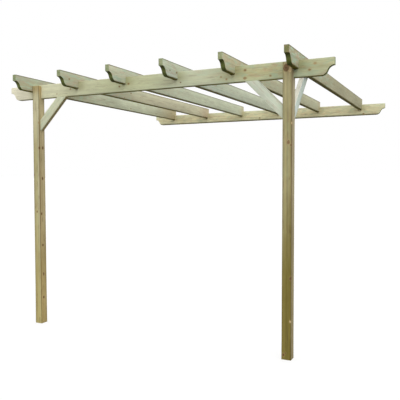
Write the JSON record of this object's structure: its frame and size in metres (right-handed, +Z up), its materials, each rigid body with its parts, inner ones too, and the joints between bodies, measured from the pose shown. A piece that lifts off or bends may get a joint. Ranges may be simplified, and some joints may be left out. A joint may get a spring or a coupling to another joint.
{
  "type": "lean-to pergola",
  "caption": "Timber pergola that leans on a wall: a front beam on posts, a beam on the wall, notched rafters with S-shaped ends laid over both, and knee braces.",
  "frame": {"origin": "middle of the wall beam's back face, which lies on the wall", "axes": "+X along the beams, to the right seen from the front; +Y from the posts towards the wall; +Z up"},
  "size_m": [2.94, 2.88, 2.19],
  "materials": {
    "post_timber": "planed softwood, pressure-treated, weathered and dry",
    "beam_timber": "planed softwood, pressure-treated, pale green tint",
    "rafter_timber": "planed softwood, pressure-treated, pale green tint",
    "brace_timber": "planed softwood, pressure-treated, pale"
  },
  "bodies": {
    "root": {"left_post": "post_timber", "right_post": "post_timber", "front_beam": "beam_timber", "wall_beam": "beam_timber", "rafter_1": "rafter_timber", "rafter_2": "rafter_timber", "rafter_3": "rafter_timber", "rafter_4": "rafter_timber", "rafter_5": "rafter_timber", "rafter_6": "rafter_timber", "left_front_brace": "brace_timber", "right_front_brace": "brace_timber", "left_side_brace": "brace_timber", "right_side_brace": "brace_timber"}
  },
  "joints": []
}
